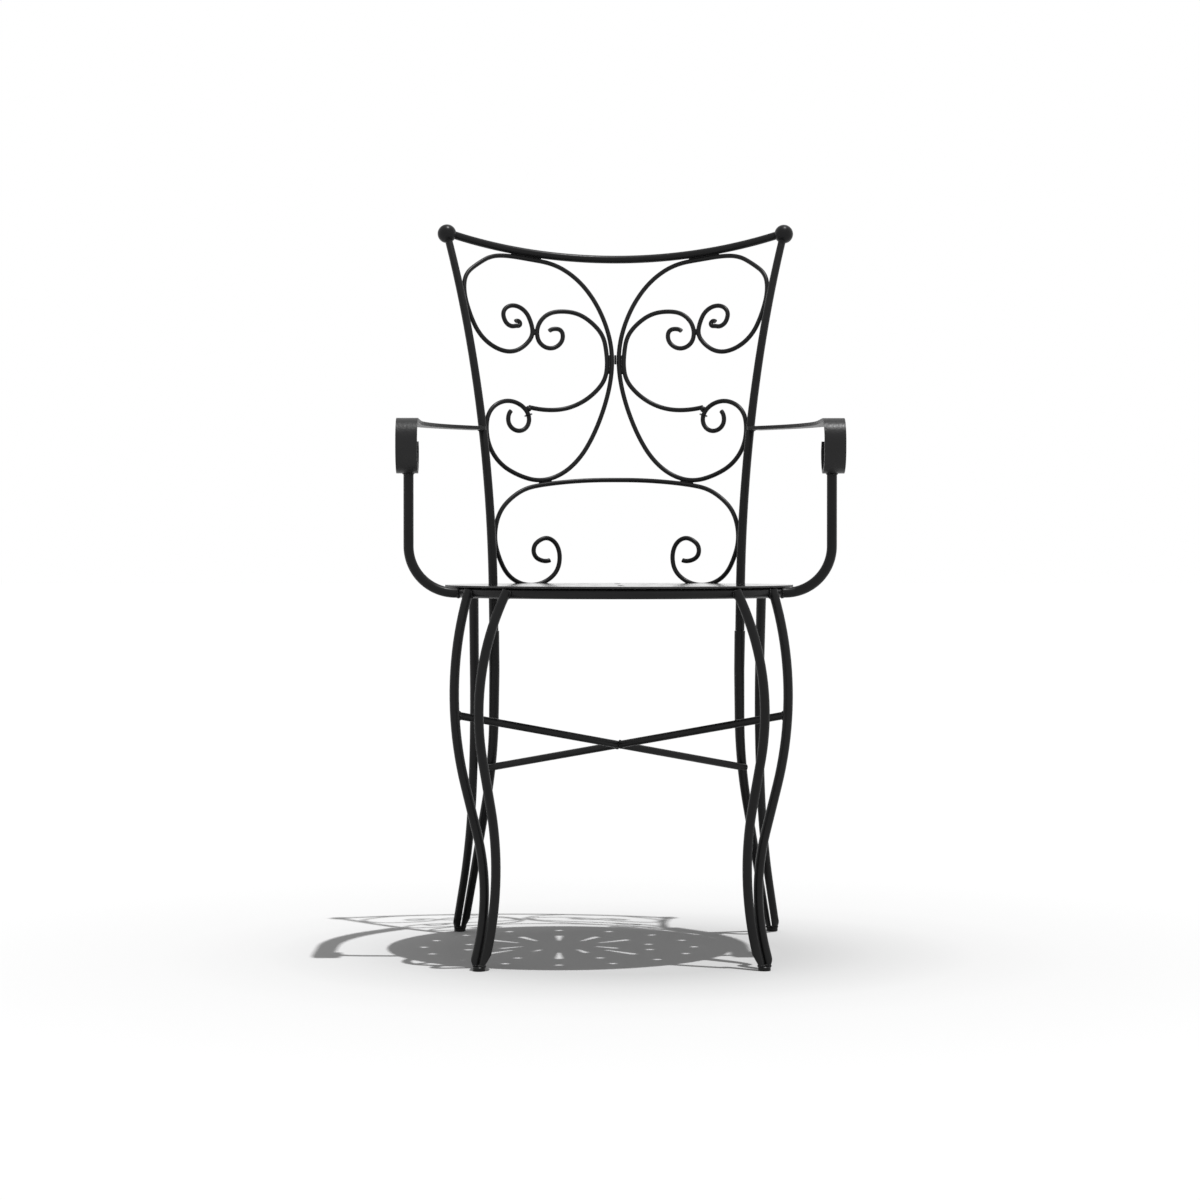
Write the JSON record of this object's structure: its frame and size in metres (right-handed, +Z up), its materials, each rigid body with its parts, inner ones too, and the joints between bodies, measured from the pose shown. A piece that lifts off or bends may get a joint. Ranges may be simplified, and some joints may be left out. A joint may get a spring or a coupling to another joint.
{
  "type": "garden armchair",
  "caption": "Tall-backed garden armchair of bent and welded round steel bar, with a perforated disc seat, scrollwork back, curled flat armrests and paired cabriole legs.",
  "frame": {"origin": "on the floor, under the middle of the bounding box", "axes": "+Z up, -Y towards the chair's front, +X to the right of someone who faces its front"},
  "size_m": [0.528, 0.514, 0.9053],
  "materials": {
    "frame_coat": "satin",
    "seat_coat": "gloss"
  },
  "bodies": {
    "root": {"arm_post_left": "frame_coat", "arm_post_right": "frame_coat", "armrest_left": "frame_coat", "armrest_right": "frame_coat", "back_upright_left": "frame_coat", "back_upright_right": "frame_coat", "ball_left": "frame_coat", "ball_right": "frame_coat", "foot_front_left": "frame_coat", "foot_front_right": "frame_coat", "foot_rear_left": "frame_coat", "foot_rear_right": "frame_coat", "front_leg_inner_left": "frame_coat", "front_leg_inner_right": "frame_coat", "front_leg_outer_left": "frame_coat", "front_leg_outer_right": "frame_coat", "inner_scroll_left": "frame_coat", "inner_scroll_right": "frame_coat", "lower_scroll": "frame_coat", "rear_leg_inner_left": "frame_coat", "rear_leg_inner_right": "frame_coat", "rear_leg_outer_left": "frame_coat", "rear_leg_outer_right": "frame_coat", "scroll_collar_left": "frame_coat", "scroll_collar_right": "frame_coat", "scroll_spacer": "frame_coat", "seat_plate": "seat_coat", "seat_ring": "frame_coat", "stretcher_half_front": "frame_coat", "stretcher_half_rear": "frame_coat", "stretcher_through": "frame_coat", "tall_scroll_left": "frame_coat", "tall_scroll_right": "frame_coat", "top_rail": "frame_coat"}
  },
  "joints": []
}
